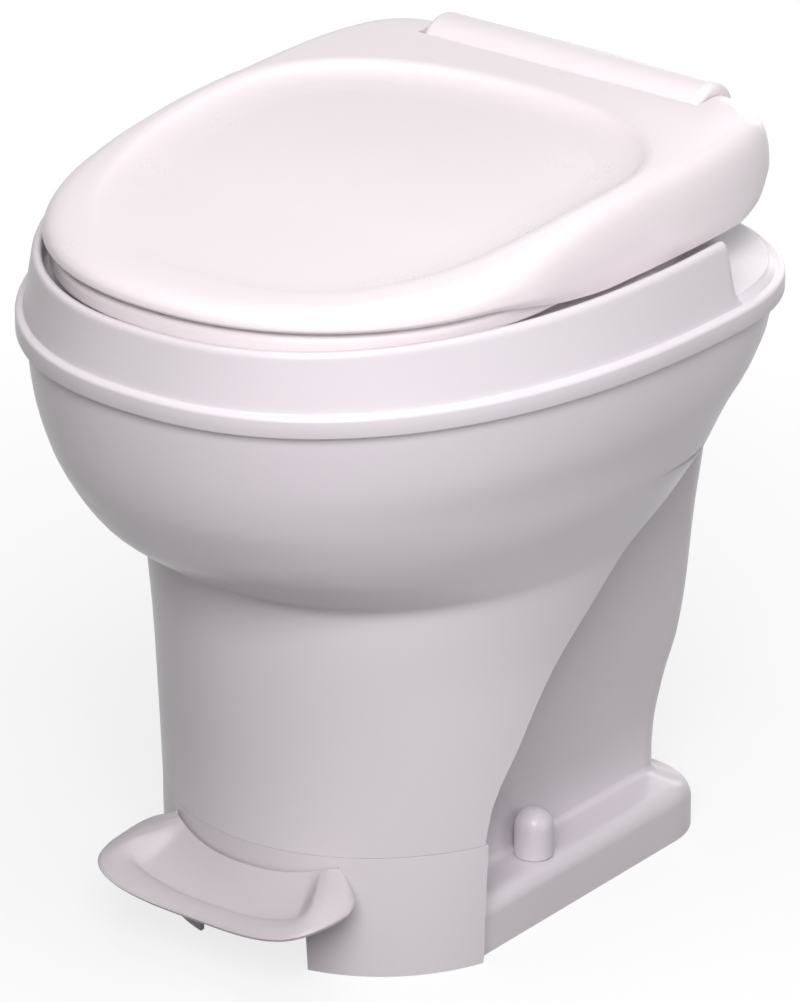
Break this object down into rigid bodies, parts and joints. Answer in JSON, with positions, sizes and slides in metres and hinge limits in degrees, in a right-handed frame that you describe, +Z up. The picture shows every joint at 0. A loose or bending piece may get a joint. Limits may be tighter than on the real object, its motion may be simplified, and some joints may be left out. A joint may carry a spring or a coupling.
{
  "type": "rv toilet",
  "caption": "Foot-flush vehicle toilet with a hinged lid and seat, flared bowl shroud, crescent flush pedal geared to a rotary valve, and a bolted rear foot.",
  "frame": {"origin": "centre of the bounding box at floor level", "axes": "+Z up, -Y towards the front (pedal side), +X to the user's left when seated"},
  "size_m": [0.388, 0.4242, 0.4615],
  "materials": {
    "shell_plastic": "gloss white",
    "lid_plastic": "gloss white",
    "bowl_plastic": "gloss white",
    "inner_plastic": "moulded grey",
    "dark_plastic": "moulded black",
    "rubber": "soft black",
    "steel": "stainless",
    "brass": "machined",
    "hose": "translucent white hose"
  },
  "bodies": {
    "body": {"ball_seal": "rubber", "bolt_cap_left": "shell_plastic", "bolt_cap_right": "shell_plastic", "bolt_nut_left": "steel", "bolt_nut_right": "steel", "bolt_washer_left": "steel", "bolt_washer_right": "steel", "bowl": "bowl_plastic", "bracket_screw_left": "steel", "bracket_screw_right": "steel", "closet_bolt_left": "brass", "closet_bolt_right": "brass", "discharge_horn": "dark_plastic", "floor_seal": "rubber", "front_shell": "shell_plastic", "front_skirt": "shell_plastic", "hinge_bracket_left": "inner_plastic", "hinge_bracket_right": "inner_plastic", "hinge_cover": "lid_plastic", "hinge_pin_left": "steel", "hinge_pin_right": "steel", "housing_screw_front": "steel", "housing_screw_rear": "steel", "inlet_fitting": "brass", "inlet_nut": "brass", "mechanism_plate": "inner_plastic", "pedal_bearing_left": "inner_plastic", "pedal_bearing_right": "inner_plastic", "rear_base": "shell_plastic", "return_spring": "steel", "rim_collar": "shell_plastic", "rinse_hose": "hose", "rinse_nozzle": "inner_plastic", "rise_hose": "hose", "shaft_bushing_left": "inner_plastic", "shaft_bushing_right": "inner_plastic", "supply_hose": "hose", "vacuum_breaker": "inner_plastic", "valve_housing_lower": "dark_plastic", "valve_housing_upper": "dark_plastic", "water_valve": "inner_plastic"},
    "seat": {"seat_ring": "lid_plastic", "seat_buffer_front_left": "rubber", "seat_buffer_front_right": "rubber", "seat_buffer_rear_left": "rubber", "seat_buffer_rear_right": "rubber"},
    "lid": {"lid": "lid_plastic", "lid_buffer_left": "rubber", "lid_buffer_right": "rubber"},
    "pedal": {"foot_pedal": "shell_plastic", "pedal_shaft": "steel", "drive_sector": "inner_plastic", "valve_cam": "inner_plastic"},
    "ball": {"valve_ball": "inner_plastic", "valve_shaft": "steel", "idler_pin": "steel", "drive_pinion": "inner_plastic"},
    "plunger": {"valve_plunger": "brass"}
  },
  "joints": [
    {"name": "seat_hinge", "type": "hinge", "parent": "body", "child": "seat", "pos_m": [0, 0.1905, 0.44], "axis": [-1, 0, 0], "range_deg": [0, 95]},
    {"name": "lid_hinge", "type": "hinge", "parent": "seat", "child": "lid", "pos_m": [0, 0.1905, 0.44], "axis": [-1, 0, 0], "range_deg": [0, 95]},
    {"name": "pedal_hinge", "type": "hinge", "parent": "body", "child": "pedal", "pos_m": [0, -0.045, 0.04], "axis": [1, 0, 0], "range_deg": [0, 15], "stiffness_Nm_per_rad": 1.5, "springref_deg": -20.05},
    {"name": "ball_hinge", "type": "hinge", "parent": "body", "child": "ball", "pos_m": [0, 0.037, 0.118], "axis": [-1, 0, 0], "range_deg": [0, 90]},
    {"name": "plunger_slide", "type": "slide", "parent": "body", "child": "plunger", "axis": [0, 0, 1], "range_m": [0, 0.00945]}
  ],
  "couplings": [
    {"joint": "ball_hinge", "follows": "pedal_hinge", "ratio": 6},
    {"joint": "plunger_slide", "follows": "pedal_hinge", "m_per_rad": 0.036}
  ]
}
